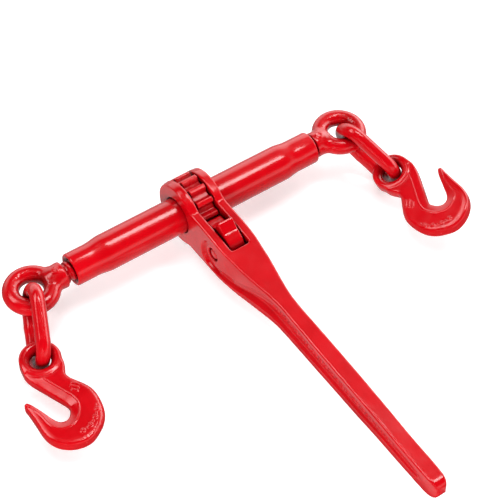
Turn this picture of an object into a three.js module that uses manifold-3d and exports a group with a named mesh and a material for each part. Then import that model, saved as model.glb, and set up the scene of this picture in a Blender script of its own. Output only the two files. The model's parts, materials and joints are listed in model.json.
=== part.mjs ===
// Ratchet load binder with two eye screws, two chain links and two grab hooks.
// Frame: +X runs along the barrel, the handle reaches towards -Y, and the pawl's lug
// stands up towards +Z. The pieces are placed about the barrel's axis, at the gear's
// middle. The whole group is then set down so that the origin is the middle of the
// underside of its box. Left is -X, right is +X. Units are millimetres.
import * as THREE from 'three';
import { mergeVertices } from 'three/addons/utils/BufferGeometryUtils.js';
import Module from 'manifold-3d';

const wasm = await Module();
wasm.setup();

// ---------------------------------------------------------------- dimensions
const BARREL_HALF = 127;         // half the tube's length
const BARREL_R = 16.6;           // outer radius of the tube
const BARREL_END_R = 15.0;       // outer radius of the swaged ends
const BARREL_CHAMFER = 1.6;      // outer edge of each end
const SWAGE_START = 91;          // |x| where the taper begins
const SWAGE_END = 106;           // |x| where the swaged end begins
const BARREL_BORE_R = 12.6;      // bore between the swaged ends
const NUT_BORE_R = 9.9;          // bore of the swaged ends, over the screw's crests
const NUT_CHAMFER = 1.2;         // mouth of that bore
const BORE_TAPER = 4.5;          // length of the taper between the two bores

const GEAR_TEETH = 14;
const GEAR_TIP_R = 31.0;
const GEAR_ROOT_R = 25.8;
const GEAR_HALF = 7.8;           // half the gear's width
const GEAR_BORE_R = 16.95;
const GEAR_PHASE = -2.4;         // degrees from +Y towards +Z, middle of one crest

const RING_R = 30.6;             // outer radius of the handle's two cheeks
const RING_CHAMFER = 1.2;
const CHEEK_OUT = 17.8;          // |x| of a cheek's outer face
const CHEEK_IN = 9.4;            // |x| of a cheek's inner face
const CHEEK_BORE_R = 17.95;      // the barrel turns in this bore
const WINDOW_END_Y = -72.6;      // end wall of the window between the cheeks
const WINDOW_CORNER = 2.2;       // size of the window's rounded corners

const PIN_Y = -56.2;
const PIN_Z = 3.0;
const PIN_R = 5.0;
const PIN_BORE_R = 5.35;
const PIN_HEAD_R = 6.3;
const PIN_HEAD_OUT = 17.0;       // |x| of the head's outer face
const PIN_HEAD_GAP = 0.3;        // between the head and the pocket's floor
const POCKET_FLOOR = 15.5;       // |x| of the pocket's floor around the pin
const BOSS_R = 11.0;
const BOSS_BORE_R = 7.9;
const BOSS_OUT = 17.1;           // |x| of the boss's outer face
const BOSS_SINK = 2;             // how far the boss reaches below the pocket's floor

const PAWL_HALF = 7.3;           // half the pawl's width
const PLUNGER_R = 3.4;
const PLUNGER_BORE_R = 3.8;
const PLUNGER_FRONT_Y = -73.4;   // the end towards the pawl
const PLUNGER_BACK_Y = -83.4;
const SPRING_END_Y = -99.0;
const SPRING_R = 2.5;            // mean radius of the coil
const SPRING_WIRE_R = 0.6;
const SPRING_TURNS = 5;

const EYE_R = 17.7;              // mean radius of the eye's ring
const EYE_WIRE_R = 7.5;
const NECK_END = 31.2;           // from the eye's centre to the neck's shoulder
const NECK_R = 11.8;
const NECK_CHAMFER = 1.2;
const SCREW_LEN = 128;           // from the shoulder to the inner end
const SCREW_END = NECK_END + SCREW_LEN;
const SCREW_MAJOR_R = 9.5;
const SCREW_MINOR_R = 7.7;
const SCREW_LEAD = 6.35;
const EYE_LEFT_X = -165.2;       // centre of the left screw's eye
const EYE_RIGHT_X = 160.2;       // centre of the right screw's eye
const STOP_PIN_R = 2.5;
const STOP_PIN_HALF = 11.4;      // half the pin's length
const STOP_PIN_CHAMFER = 0.5;
const STOP_PIN_CLEARANCE = 0.3;
const STOP_PIN_X = SCREW_END - 5.5; // from the eye's centre

const LINK_BAR_R = 6.35;
const LINK_INNER_L = 51.5;
const LINK_INNER_W = 20.4;
const LINK_STEPS = 18;           // bar sections around the link
const LINK_GAP = 0.7;            // play between a link's end and the ring in it

const HOOK_R = 18.0;             // outer radius of the hook's ring
const HOOK_HOLE_R = 8.8;
const HOOK_HALF = 6.4;           // half the hook's thickness
const HOOK_BEVEL = 1.7;
const HOLE_FLARE = 3.9;          // chamfer of the ring's hole
const HOOK_Z = -14;              // height of both hooks' middle planes

const DEG = Math.PI / 180;
const THROUGH = 60;              // half length of cutters that pass right through

// ---------------------------------------------------------------- solids and meshes
// A closed manifold solid, facing outwards, from a geometry's positions.
function toSolid(geometry) {
  geometry.deleteAttribute('normal');
  geometry.deleteAttribute('uv');
  const merged = mergeVertices(geometry, 1e-4);
  const positions = merged.attributes.position;
  const index = merged.index.array;
  const corners = [];
  for (let i = 0; i < index.length; i += 3) {
    const [a, b, c] = index.slice(i, i + 3);
    if (a !== b && b !== c && c !== a) corners.push(a, b, c);
  }
  const corner = (i) => new THREE.Vector3().fromBufferAttribute(positions, corners[i]);
  let volume = 0;
  for (let i = 0; i < corners.length; i += 3) {
    volume += corner(i).dot(corner(i + 1).cross(corner(i + 2)));
  }
  if (volume < 0) {
    for (let i = 0; i < corners.length; i += 3) {
      [corners[i + 1], corners[i + 2]] = [corners[i + 2], corners[i + 1]];
    }
  }
  return new wasm.Manifold(new wasm.Mesh({
    numProp: 3,
    vertProperties: new Float32Array(positions.array),
    triVerts: new Uint32Array(corners),
  }));
}

const RED = { color: 0xd8141c, roughness: 0.22, metalness: 0.0 };
const STEEL = { color: 0x9a9da2, roughness: 0.35, metalness: 1.0 };

function makeMesh(name, solid, look) {
  const { vertProperties, triVerts } = solid.getMesh();
  const geometry = new THREE.BufferGeometry();
  geometry.setAttribute('position', new THREE.Float32BufferAttribute(vertProperties, 3));
  geometry.setIndex(new THREE.Uint32BufferAttribute(triVerts, 1));
  geometry.computeVertexNormals();
  const mesh = new THREE.Mesh(geometry, new THREE.MeshStandardMaterial(look));
  mesh.name = name;
  return mesh;
}

// ---------------------------------------------------------------- outlines and profiles
const toVectors = (points) => points.map(([x, y]) => new THREE.Vector2(x, y));
const shapeOf = (points) => new THREE.Shape(toVectors(points));

// the points, then their images with the first coordinate negated, walked back
const mirrored = (points) => [...points, ...points.map(([a, b]) => [-a, b]).reverse()];

function circle(x, y, radius, count) {
  return Array.from({ length: count }, (_, i) => {
    const angle = (i * 2 * Math.PI) / count;
    return [x + radius * Math.cos(angle), y + radius * Math.sin(angle)];
  });
}

const extrude = (points, depth) => (
  new THREE.ExtrudeGeometry(shapeOf(points), { depth, bevelEnabled: false }));

// a (y, z) outline extruded from x0 to x1
const OUTLINE_TO_YZ = new THREE.Matrix4().makeBasis(
  new THREE.Vector3(0, 1, 0), new THREE.Vector3(0, 0, 1), new THREE.Vector3(1, 0, 0));
const prismX = (points, x0, x1) => (
  toSolid(extrude(points, x1 - x0).applyMatrix4(OUTLINE_TO_YZ).translate(x0, 0, 0)));

// an (x, y) outline extruded from -THROUGH to THROUGH along Z
const prismZ = (points) => toSolid(extrude(points, 2 * THROUGH).translate(0, 0, -THROUGH));

const cylinderX = (y, z, radius, x0, x1, segments) => (
  prismX(circle(y, z, radius, segments), x0, x1));
const boreX = (y, z, radius, segments) => (
  cylinderX(y, z, radius, -THROUGH, THROUGH, segments));

// closed [along, radius] profiles turned about the Y or the X axis
const lathe = (profile, segments) => new THREE.LatheGeometry(
  toVectors([...profile, profile[0]].map(([along, radius]) => [radius, along])), segments);
const turnY = (profile, segments) => toSolid(lathe(profile, segments));

const LATHE_TO_X = new THREE.Matrix4().makeBasis(
  new THREE.Vector3(0, 1, 0), new THREE.Vector3(1, 0, 0), new THREE.Vector3(0, 0, -1));
const turnX = (profile, segments) => toSolid(lathe(profile, segments).applyMatrix4(LATHE_TO_X));

// ---------------------------------------------------------------- barrel
function buildBarrel() {
  const end = BARREL_HALF;
  return turnX(mirrored([
    // outside, out to the end
    [SWAGE_START, BARREL_R],
    [(SWAGE_START + SWAGE_END) / 2, (BARREL_R + BARREL_END_R) / 2],
    [SWAGE_END, BARREL_END_R],
    [end - BARREL_CHAMFER, BARREL_END_R],
    [end, BARREL_END_R - BARREL_CHAMFER],
    // bore, back from the end
    [end, NUT_BORE_R + NUT_CHAMFER],
    [end - NUT_CHAMFER, NUT_BORE_R],
    [SWAGE_END, NUT_BORE_R],
    [SWAGE_END - BORE_TAPER, BARREL_BORE_R],
  ]), 28);
}

// ---------------------------------------------------------------- gear
// one tooth: [degrees from the crest's middle, radius]
const TOOTH = [
  [-7.4, GEAR_ROOT_R], [-4.3, GEAR_TIP_R - 0.6], [-3.3, GEAR_TIP_R],
  [3.3, GEAR_TIP_R], [4.3, GEAR_TIP_R - 0.6], [7.4, GEAR_ROOT_R],
];

function buildGear() {
  const outline = [];
  for (let i = 0; i < GEAR_TEETH; i++) {
    const crest = GEAR_PHASE + i * (360 / GEAR_TEETH);
    for (const [offset, radius] of TOOTH) {
      const angle = (crest + offset) * DEG;
      outline.push([radius * Math.cos(angle), radius * Math.sin(angle)]);
    }
  }
  return prismX(outline, -GEAR_HALF, GEAR_HALF).subtract(boreX(0, 0, GEAR_BORE_R, 28));
}

// ---------------------------------------------------------------- handle
// side outline of the forging behind the cheeks' round ends: [y, z]
const TOP_LINE = [
  [-12, 21.3], [-46, 21.2], [-58, 20.7], [-70, 19.7], [-85, 18.4], [-100, 17.3],
  [-125, 16.1], [-150, 15.0], [-185, 14.2], [-215, 13.7], [-245, 13.0], [-270, 12.0],
  [-290, 10.9], [-308, 10.3], [-335, 10.1],
];
const TIP_LINE = [
  [-342, 9.2], [-347, 5.6], [-349.6, 0.5], [-349.2, -4.6], [-346, -9.2], [-341, -11.6],
];
const BOTTOM_LINE = [
  [-335, -12.6], [-310, -13.5], [-280, -13.9], [-250, -14.4], [-220, -14.8], [-170, -16.0],
  [-140, -16.9], [-120, -18.0], [-105, -19.0], [-80, -20.4], [-50, -22.0], [-12, -23.4],
];
// plan of the forging: [half width, y]
const WIDTH_LINE = [
  [CHEEK_OUT, 40], [CHEEK_OUT, -64], [17.3, -72], [16.4, -80], [14.6, -95], [12.0, -110],
  [9.4, -125], [8.3, -133], [7.6, -142], [7.8, -200], [7.6, -250], [7.3, -290], [7.1, -335],
  [6.6, -343], [5.4, -347.5], [3.4, -350],
];
// web at the bottom of the side channels: [half thickness, y]
const WEB_LINE = [
  [POCKET_FLOOR, -30], [POCKET_FLOOR, -64], [15.0, -72], [13.4, -82], [10.8, -95],
  [7.6, -108], [4.6, -125], [3.5, -140], [3.4, -330],
];
// window between the cheeks: [half width, y]
const WINDOW_LINE = [
  [CHEEK_IN, 60], [CHEEK_IN, WINDOW_END_Y + WINDOW_CORNER],
  [CHEEK_IN - 0.6, WINDOW_END_Y + 0.7], [CHEEK_IN - WINDOW_CORNER, WINDOW_END_Y],
];
// side channel's outline from the round pocket, along the bottom and back on top: [y, z]
const GROOVE_LINE = [
  [-66, -18.0], [-80, -17.0], [-90, -15.2], [-100, -12.2], [-120, -10.8], [-140, -10.6],
  [-170, -9.2], [-200, -7.6], [-240, -6.9], [-280, -5.4], [-310, -4.8], [-323, -4.4],
  [-328, -2.6], [-329, -0.4], [-326.5, 2.2], [-322, 3.2], [-310, 3.9], [-280, 5.2],
  [-240, 6.4], [-200, 7.8], [-170, 8.8], [-140, 9.8], [-126, 10.6], [-118, 10.4],
  [-110, 7.6], [-100, 3.0], [-90, -1.4], [-80, -3.6], [-72, -5.2], [-66.5, -3.6],
  [-64.5, 0.2], [-64.5, 3.4], [-63.3, 7.2], [-60.4, 10.2],
];
const POCKET = { y: -54.5, z: -4.2, radius: 15.6 };

// the round pocket near the pin, running into the long groove
function channelOutline() {
  const pocket = [];
  for (let angle = 100; angle >= -112; angle -= 21.2) {
    pocket.push([
      POCKET.y + POCKET.radius * Math.cos(angle * DEG),
      POCKET.z + POCKET.radius * Math.sin(angle * DEG),
    ]);
  }
  return [...pocket, ...GROOVE_LINE];
}

function buildHandle() {
  const side = prismX([...TOP_LINE, ...TIP_LINE, ...BOTTOM_LINE], -CHEEK_OUT, CHEEK_OUT);
  const ring = turnX(mirrored([
    [CHEEK_OUT - RING_CHAMFER, RING_R], [CHEEK_OUT, RING_R - RING_CHAMFER], [CHEEK_OUT, 0],
  ]), 48);
  let body = side.intersect(prismZ(mirrored(WIDTH_LINE))).add(ring)
    .subtract(prismZ(mirrored(WINDOW_LINE)))
    .subtract(boreX(0, 0, CHEEK_BORE_R, 36));

  for (const sign of [-1, 1]) {
    // |x| limits as an ascending range on this side
    const range = (inner, outer) => (sign < 0 ? [-outer, -inner] : [inner, outer]);
    const channel = prismX(channelOutline(), ...range(0, THROUGH));
    const outsideWeb = prismZ([
      ...WEB_LINE.map(([half, y]) => [sign * half, y]),
      [sign * THROUGH, -345], [sign * THROUGH, -30],
    ]);
    body = body.subtract(channel.intersect(outsideWeb));

    // raised rim about the pin's head; its bore clears the forging too
    const boss = cylinderX(
      PIN_Y, PIN_Z, BOSS_R, ...range(POCKET_FLOOR - BOSS_SINK, BOSS_OUT), 24);
    const bore = cylinderX(PIN_Y, PIN_Z, BOSS_BORE_R, ...range(POCKET_FLOOR, THROUGH), 24);
    body = body.add(boss.subtract(bore)).subtract(bore);
  }

  // blind hole for the plunger and its spring, from inside the window
  const holeEnd = SPRING_END_Y - 0.4;
  const holeMouth = WINDOW_END_Y + 2;
  const plungerHole = turnY([
    [holeEnd, 0], [holeEnd, PLUNGER_BORE_R], [holeMouth, PLUNGER_BORE_R], [holeMouth, 0],
  ], 16).translate([0, 0, PIN_Z]);
  return body.subtract(boreX(PIN_Y, PIN_Z, PIN_BORE_R, 20)).subtract(plungerHole);
}

// ---------------------------------------------------------------- pawl and its pin
// [y, z]
const PAWL_OUTLINE = [
  [-29.6, 13.6], [-31.2, 16.6], [-36.8, 20.4], [-43.2, 24.0], [-47.2, 29.0], [-48.4, 30.1],
  [-49.6, 30.0], [-51.4, 27.2], [-54.4, 24.8], [-57.6, 23.9], [-60.0, 23.6], [-61.4, 22.8],
  [-64.8, 20.4], [-67.8, 16.6], [-70.1, 11.2], [-71.6, 5.2], [-71.8, 3.8], [-71.7, 2.4],
  [-70.4, -3.2], [-67.4, -8.6], [-62.8, -12.4], [-56.8, -14.4], [-50.0, -14.8],
  [-42.0, -15.2], [-35.6, -14.4], [-31.0, -11.4], [-30.6, -10.2], [-33.2, -6.4],
  [-35.6, -1.0], [-35.4, 4.6], [-33.0, 9.8],
];

function buildPawl() {
  return prismX(PAWL_OUTLINE, -PAWL_HALF, PAWL_HALF)
    .subtract(boreX(PIN_Y, PIN_Z, PIN_BORE_R, 20));
}

// a plain shank with a low domed head at each end
function buildPawlPin() {
  const headIn = POCKET_FLOOR + PIN_HEAD_GAP;
  return turnX(mirrored([
    [headIn, PIN_R], [headIn, PIN_HEAD_R], [PIN_HEAD_OUT - 0.6, PIN_HEAD_R - 0.9],
    [PIN_HEAD_OUT, 3.4], [PIN_HEAD_OUT, 0],
  ]), 20).translate([0, PIN_Y, PIN_Z]);
}

// ---------------------------------------------------------------- plunger and spring
function buildPlunger() {
  const front = PLUNGER_FRONT_Y;
  return turnY([
    [PLUNGER_BACK_Y, 0], [PLUNGER_BACK_Y, PLUNGER_R], [front - 1.8, PLUNGER_R],
    [front - 0.5, 2.2], [front, 0.9], [front, 0],
  ], 16).translate([0, 0, PIN_Z]);
}

function buildSpring() {
  const start = SPRING_END_Y + SPRING_WIRE_R + 0.1;
  const end = PLUNGER_BACK_Y - SPRING_WIRE_R - 0.4;
  const helix = new THREE.Curve();
  helix.getPoint = (t, target = new THREE.Vector3()) => {
    const angle = t * SPRING_TURNS * 2 * Math.PI;
    return target.set(
      SPRING_R * Math.cos(angle), start + (end - start) * t, SPRING_R * Math.sin(angle));
  };
  const coil = new THREE.ExtrudeGeometry(shapeOf(circle(0, 0, SPRING_WIRE_R, 6)), {
    steps: SPRING_TURNS * 12, bevelEnabled: false, extrudePath: helix,
  });
  return toSolid(coil.translate(0, 0, PIN_Z));
}

// ---------------------------------------------------------------- eye screw
// one pitch of the thread: [fraction of the lead, radius]
const THREAD_PROFILE = [
  [0, SCREW_MINOR_R], [0.26, SCREW_MINOR_R], [0.46, SCREW_MAJOR_R], [0.8, SCREW_MAJOR_R],
];
const THREAD_STEPS = 12; // about the axis

// A screw thread along +X from x0 to x1; hand is 1 for right-handed, -1 for left-handed.
// It is a strip of stations along the axis, made overlong and then cut to length.
function buildThread(x0, x1, hand) {
  const pitch = THREAD_PROFILE.length; // stations in one pitch
  const turns = Math.ceil((x1 - x0) / SCREW_LEAD) + 2;
  const lastStation = turns * pitch;
  const lastStep = THREAD_STEPS - 1;
  const start = x0 - SCREW_LEAD * 1.5;
  const vertex = (station, step) => station * THREAD_STEPS + step;

  const positions = [];
  for (let station = 0; station <= lastStation; station++) {
    const [fraction, radius] = THREAD_PROFILE[station % pitch];
    for (let step = 0; step < THREAD_STEPS; step++) {
      const angle = ((step * 2 * Math.PI) / THREAD_STEPS) * hand;
      const leads = Math.floor(station / pitch) + fraction + step / THREAD_STEPS;
      positions.push(
        start + SCREW_LEAD * leads, radius * Math.cos(angle), radius * Math.sin(angle));
    }
  }

  const triangles = [];
  for (let station = 0; station < lastStation; station++) {
    for (let step = 0; step < THREAD_STEPS; step++) {
      // past the last step, the strip continues one pitch further on
      const next = step === lastStep ? station + pitch : station;
      const nextStep = (step + 1) % THREAD_STEPS;
      if (next + 1 > lastStation) continue;
      const a = vertex(station, step);
      const b = vertex(station + 1, step);
      const c = vertex(next + 1, nextStep);
      const d = vertex(next, nextStep);
      triangles.push(a, d, c, a, c, b);
    }
  }

  // both ends are closed with fans to the axis, which the cut takes away
  const closeWithFan = (loop, x) => {
    const centre = positions.length / 3;
    positions.push(x, 0, 0);
    loop.forEach((corner, i) => triangles.push(centre, loop[(i + 1) % loop.length], corner));
  };
  const startLoop = [];
  for (let step = 0; step < THREAD_STEPS; step++) startLoop.push(vertex(0, step));
  for (let station = pitch; station > 0; station--) startLoop.push(vertex(station, 0));
  const endLoop = [];
  for (let station = lastStation - pitch; station < lastStation; station++) {
    endLoop.push(vertex(station, lastStep));
  }
  for (let step = lastStep; step >= 0; step--) endLoop.push(vertex(lastStation, step));
  closeWithFan(startLoop, start + SCREW_LEAD / 2);
  closeWithFan(endLoop, start + SCREW_LEAD * (turns + 0.5));

  const geometry = new THREE.BufferGeometry();
  geometry.setAttribute('position', new THREE.Float32BufferAttribute(positions, 3));
  geometry.setIndex(triangles);
  const reach = SCREW_MAJOR_R + 1;
  return toSolid(geometry).intersect(turnX([[x0, 0], [x0, reach], [x1, reach], [x1, 0]], 16));
}

// eye centre at the origin, shank along +X, the eye's ring in the XY plane
function buildEyeScrew(hand) {
  const ring = toSolid(new THREE.TorusGeometry(EYE_R, EYE_WIRE_R, 12, 28));
  // the neck ends in a short plain length beyond its shoulder
  const plainR = SCREW_MINOR_R + 0.2;
  const plainEnd = NECK_END + 2.6;
  const neck = turnX([
    [14.5, 0], [14.5, 7.5], [19, 9.6], [23, 10.9],
    [NECK_END - NECK_CHAMFER, NECK_R], [NECK_END, NECK_R - NECK_CHAMFER],
    [NECK_END, plainR], [plainEnd, plainR], [plainEnd, 0],
  ], 20);
  const tailStart = SCREW_END - 12.5;
  const tailR = SCREW_MINOR_R - 0.1;
  const tail = turnX([
    [tailStart, 0], [tailStart, tailR], [SCREW_END - 1.4, tailR],
    [SCREW_END, SCREW_MINOR_R - 1.5], [SCREW_END, 0],
  ], 12);
  // the thread overlaps the neck and the tail a little
  const thread = buildThread(NECK_END + 1.5, SCREW_END - 11.5, hand);
  const holeR = STOP_PIN_R + STOP_PIN_CLEARANCE;
  const hole = toSolid(new THREE.CylinderGeometry(holeR, holeR, 40, 12))
    .translate([STOP_PIN_X, 0, 0]);
  return ring.add(neck).add(thread).add(tail).subtract(hole);
}

function buildStopPin() {
  return turnY(mirrored([
    [STOP_PIN_HALF - STOP_PIN_CHAMFER, STOP_PIN_R],
    [STOP_PIN_HALF, STOP_PIN_R - STOP_PIN_CHAMFER],
    [STOP_PIN_HALF, 0],
  ]), 12);
}

// ---------------------------------------------------------------- chain link
// A round bar bent into an oval: long axis X, width along Z. A torus is turned half a
// step, and its two halves are then drawn apart along X.
function buildLink() {
  const torus = new THREE.TorusGeometry(
    LINK_INNER_W / 2 + LINK_BAR_R, LINK_BAR_R, 12, LINK_STEPS);
  torus.rotateZ(Math.PI / LINK_STEPS);
  const shift = LINK_INNER_L / 2 - LINK_INNER_W / 2;
  const positions = torus.attributes.position;
  for (let i = 0; i < positions.count; i++) {
    // two sections lie at 90 and 270 degrees, where rounding in this expression picks
    // the half they go with
    const step = i % (LINK_STEPS + 1);
    const angle = (step * 2 * Math.PI) / LINK_STEPS + Math.PI / LINK_STEPS;
    positions.setX(i, positions.getX(i) + (Math.cos(angle) > 0 ? shift : -shift));
  }
  return toSolid(torus.rotateX(Math.PI / 2));
}

// ---------------------------------------------------------------- grab hook
// Ring centre at the origin, bowl towards -Y. The slot is on the -X side, open to +Y.
// [x, y] from the ring's left flank, round the slot and the bowl, to its right flank
const HOOK_LINE = [
  [-18.0, -2.1], [-20.5, -6.7], [-19.8, -10.5], [-16.5, -21.7], [-8.0, -44.1], [-6.0, -49.8],
  [-5.7, -54.0], [-7.4, -57.6], [-10.0, -60.9], [-14.0, -63.0], [-18.6, -62.0],
  [-21.7, -58.2], [-24.8, -49.2], [-30.2, -33.6], [-32.6, -30.6], [-35.0, -32.0],
  [-35.3, -37.4], [-35.6, -43.8], [-36.2, -54.1], [-36.7, -62.2], [-36.1, -68.6],
  [-34.1, -74.7], [-30.4, -80.5], [-25.0, -85.2], [-18.3, -88.5], [-10.7, -90.0],
  [-4.8, -89.6], [1.6, -86.9], [8.5, -82.4], [14.6, -75.2], [18.2, -66.3], [19.9, -56.9],
  [19.8, -48.8], [18.2, -43.6], [15.7, -38.4], [12.6, -33.3], [10.0, -28.6], [9.6, -23.8],
  [11.8, -19.4], [14.5, -14.2],
];

// sign is 1 as drawn, -1 mirrored in X
function buildHook(sign) {
  const outline = [...HOOK_LINE];
  // the ring's upper part, from the right flank over the top to the left flank
  for (let angle = -30; angle <= 176; angle += 14.7) {
    outline.push([HOOK_R * Math.cos(angle * DEG), HOOK_R * Math.sin(angle * DEG)]);
  }
  const shape = shapeOf(outline.map(([x, y]) => [sign * x, y]));
  const hole = new THREE.Path(toVectors(circle(0, 0, HOOK_HOLE_R, 24)));
  hole.closePath();
  shape.holes.push(hole);
  const flatHalf = HOOK_HALF - HOOK_BEVEL;
  const plate = new THREE.ExtrudeGeometry(shape, {
    depth: 2 * flatHalf,
    bevelEnabled: true,
    bevelThickness: HOOK_BEVEL,
    bevelSize: HOOK_BEVEL,
    bevelOffset: -HOOK_BEVEL,
    bevelSegments: 1,
  });
  plate.translate(0, 0, -flatHalf);
  // the hole opens out at 45 degrees to both faces; the cutter runs on past them
  const past = 1;
  const flare = turnX(mirrored([
    [HOOK_HALF - HOLE_FLARE, HOOK_HOLE_R],
    [HOOK_HALF + past, HOOK_HOLE_R + HOLE_FLARE + past],
    [HOOK_HALF + past, 0],
  ]), 24).rotate([0, 90, 0]);
  return toSolid(plate).subtract(flare);
}

// ---------------------------------------------------------------- ends
// dir: X direction from the eye to the barrel. hookAt: first x, y of the hook's ring
// centre from the eye's. hookTurn: degrees about X, Y and Z. lean: degrees the link leans
// over about its own length. hand: the thread's hand.
const ENDS = [
  {
    side: 'left', eyeX: EYE_LEFT_X, dir: 1, hand: 1,
    hookAt: [-25.8, -56.4], hookTurn: [0, 0, 1.6], lean: 15,
  },
  {
    side: 'right', eyeX: EYE_RIGHT_X, dir: -1, hand: -1,
    hookAt: [17.7, -57.6], hookTurn: [-7.5, -25, -5], lean: -19,
  },
];

// where the link and the hook lie, from the eye's centre
function hangHook(hookAt, turn, lean) {
  const normal = new THREE.Vector3(0, 0, 1).applyEuler(turn);
  const outward = new THREE.Vector3(...hookAt, 0).normalize();
  const eyeWire = outward.clone().multiplyScalar(EYE_R);
  const hookCentre = new THREE.Vector3(...hookAt, HOOK_Z);
  const ringMean = (HOOK_R + HOOK_HOLE_R) / 2;
  const ringHalf = (HOOK_R - HOOK_HOLE_R) / 2;
  const along = new THREE.Vector3();
  let span = 0;
  let hookWire = 0;
  // the hook is drawn out from the eye until the link between them has its play
  for (let i = 0; i < 12; i++) {
    const towardsEye = eyeWire.clone().sub(hookCentre);
    towardsEye.addScaledVector(normal, -towardsEye.dot(normal)).normalize();
    along.copy(hookCentre).addScaledVector(towardsEye, ringMean).sub(eyeWire);
    span = along.length();
    along.normalize();
    const tilt = Math.abs(along.dot(normal)); // sine of the link's angle to the hook's plane
    hookWire = ringHalf * Math.sqrt(1 - tilt * tilt) + HOOK_HALF * tilt - 0.3;
    const wanted = LINK_INNER_L - EYE_WIRE_R - hookWire - 2 * LINK_GAP;
    hookCentre.addScaledVector(outward, wanted - span);
  }
  // off the midpoint, because the link's two ends hold rings of unlike thickness
  const middle = eyeWire.clone()
    .addScaledVector(along, span / 2 + (hookWire - EYE_WIRE_R) / 2);
  const level = new THREE.Vector3().crossVectors(new THREE.Vector3(0, 0, 1), along).normalize();
  const up = new THREE.Vector3().crossVectors(along, level).normalize();
  const width = up.multiplyScalar(Math.cos(lean * DEG))
    .addScaledVector(level, Math.sin(lean * DEG));
  const across = new THREE.Vector3().crossVectors(width, along);
  const linkMatrix = new THREE.Matrix4().makeBasis(along, across, width).setPosition(middle);
  return { hookCentre, linkMatrix };
}

function buildEnd({ side, eyeX, dir, hand, hookAt, hookTurn, lean }) {
  const end = new THREE.Group();
  end.position.set(eyeX, 0, 0);

  const screw = makeMesh(`eye_screw_${side}`, buildEyeScrew(hand), RED);
  if (dir < 0) screw.rotation.z = Math.PI;
  const stopPin = makeMesh(`stop_pin_${side}`, buildStopPin(), STEEL);
  stopPin.position.set(dir * STOP_PIN_X, 0, 0);

  const turn = new THREE.Euler(...hookTurn.map((angle) => angle * DEG), 'XYZ');
  const { hookCentre, linkMatrix } = hangHook(hookAt, turn, lean);
  const link = makeMesh(`chain_link_${side}`, buildLink(), RED);
  link.applyMatrix4(linkMatrix);
  const hook = makeMesh(`grab_hook_${side}`, buildHook(dir), RED);
  hook.rotation.copy(turn);
  hook.position.copy(hookCentre);

  end.add(screw, stopPin, link, hook);
  return end;
}

// ---------------------------------------------------------------- assembly
const binder = new THREE.Group();
binder.add(
  makeMesh('barrel_tube', buildBarrel(), RED),
  makeMesh('ratchet_gear', buildGear(), RED),
  makeMesh('handle', buildHandle(), RED),
  makeMesh('pawl', buildPawl(), RED),
  makeMesh('pawl_pin', buildPawlPin(), RED),
  makeMesh('detent_plunger', buildPlunger(), STEEL),
  makeMesh('detent_spring', buildSpring(), STEEL),
  ...ENDS.map(buildEnd),
);

// set down on z = 0, centred in x and y
const box = new THREE.Box3().setFromObject(binder, true);
const centre = box.getCenter(new THREE.Vector3());
binder.position.set(-centre.x, -centre.y, -box.min.z);
const part = new THREE.Group();
part.add(binder);

export default part;
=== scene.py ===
# Ratchet load binder: a barrel tube with a ratchet gear and handle at its middle, and at
# each end an eye screw, a chain link and a grab hook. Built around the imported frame.
# Shapes are given in millimetres about the barrel axis, at the gear's middle:
# +X along the barrel, the handle towards -Y, +Z the window side.
import json
import math
from itertools import product

import bpy
import numpy as np
from mathutils import Matrix, Vector


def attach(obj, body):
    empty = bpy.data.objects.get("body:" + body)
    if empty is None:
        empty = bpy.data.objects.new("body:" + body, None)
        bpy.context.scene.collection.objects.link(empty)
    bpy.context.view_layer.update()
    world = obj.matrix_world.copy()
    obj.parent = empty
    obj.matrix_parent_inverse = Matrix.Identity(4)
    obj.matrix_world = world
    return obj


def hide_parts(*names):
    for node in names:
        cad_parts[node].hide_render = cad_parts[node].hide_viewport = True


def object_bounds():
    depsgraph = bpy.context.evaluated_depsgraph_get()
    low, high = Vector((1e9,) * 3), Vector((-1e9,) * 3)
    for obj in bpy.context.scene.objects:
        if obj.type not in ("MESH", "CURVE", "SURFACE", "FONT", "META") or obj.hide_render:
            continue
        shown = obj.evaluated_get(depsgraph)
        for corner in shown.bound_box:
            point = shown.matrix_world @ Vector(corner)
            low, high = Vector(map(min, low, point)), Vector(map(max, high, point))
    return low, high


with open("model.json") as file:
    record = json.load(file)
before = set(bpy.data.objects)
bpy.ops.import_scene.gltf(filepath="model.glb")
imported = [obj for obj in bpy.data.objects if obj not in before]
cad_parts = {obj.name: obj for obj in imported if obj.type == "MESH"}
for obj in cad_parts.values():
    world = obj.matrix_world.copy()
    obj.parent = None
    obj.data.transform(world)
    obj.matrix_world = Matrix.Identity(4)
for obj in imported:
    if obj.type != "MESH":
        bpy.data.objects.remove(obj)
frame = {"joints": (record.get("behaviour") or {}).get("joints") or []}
cad_lo, cad_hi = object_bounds()
JOINTS = {joint["name"]: joint for joint in frame["joints"]}
SIDES = ("left", "right")


def joint_pos(name):
    return np.array(JOINTS[name]["pos_m"], float) * 1000.0


CENTRE = joint_pos("barrel_spin")   # barrel axis, gear middle
EYE_AT = {side: joint_pos(f"link_{side}_swing") - CENTRE for side in SIDES}
HOOK_AT = {side: joint_pos(f"hook_{side}_swing") - CENTRE for side in SIDES}


# ------------------------------------------------------------------ fields
def smin(first, second, width):
    """The union of two fields, blended over the given width."""
    share = np.clip(0.5 + 0.5 * (second - first) / width, 0.0, 1.0)
    return second + (first - second) * share - width * share * (1.0 - share)


def smax(first, second, width):
    return -smin(-first, -second, width)


def rounded(first, second, radius):
    """The solid inside both fields, with its shared edge rounded."""
    first, second = first + radius, second + radius
    outside = np.hypot(np.maximum(first, 0.0), np.maximum(second, 0.0))
    return np.minimum(np.maximum(first, second), 0.0) + outside - radius


def ramp(value, start, end):
    share = np.clip((value - start) / (end - start), 0.0, 1.0)
    return share * share * (3 - 2 * share)


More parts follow.
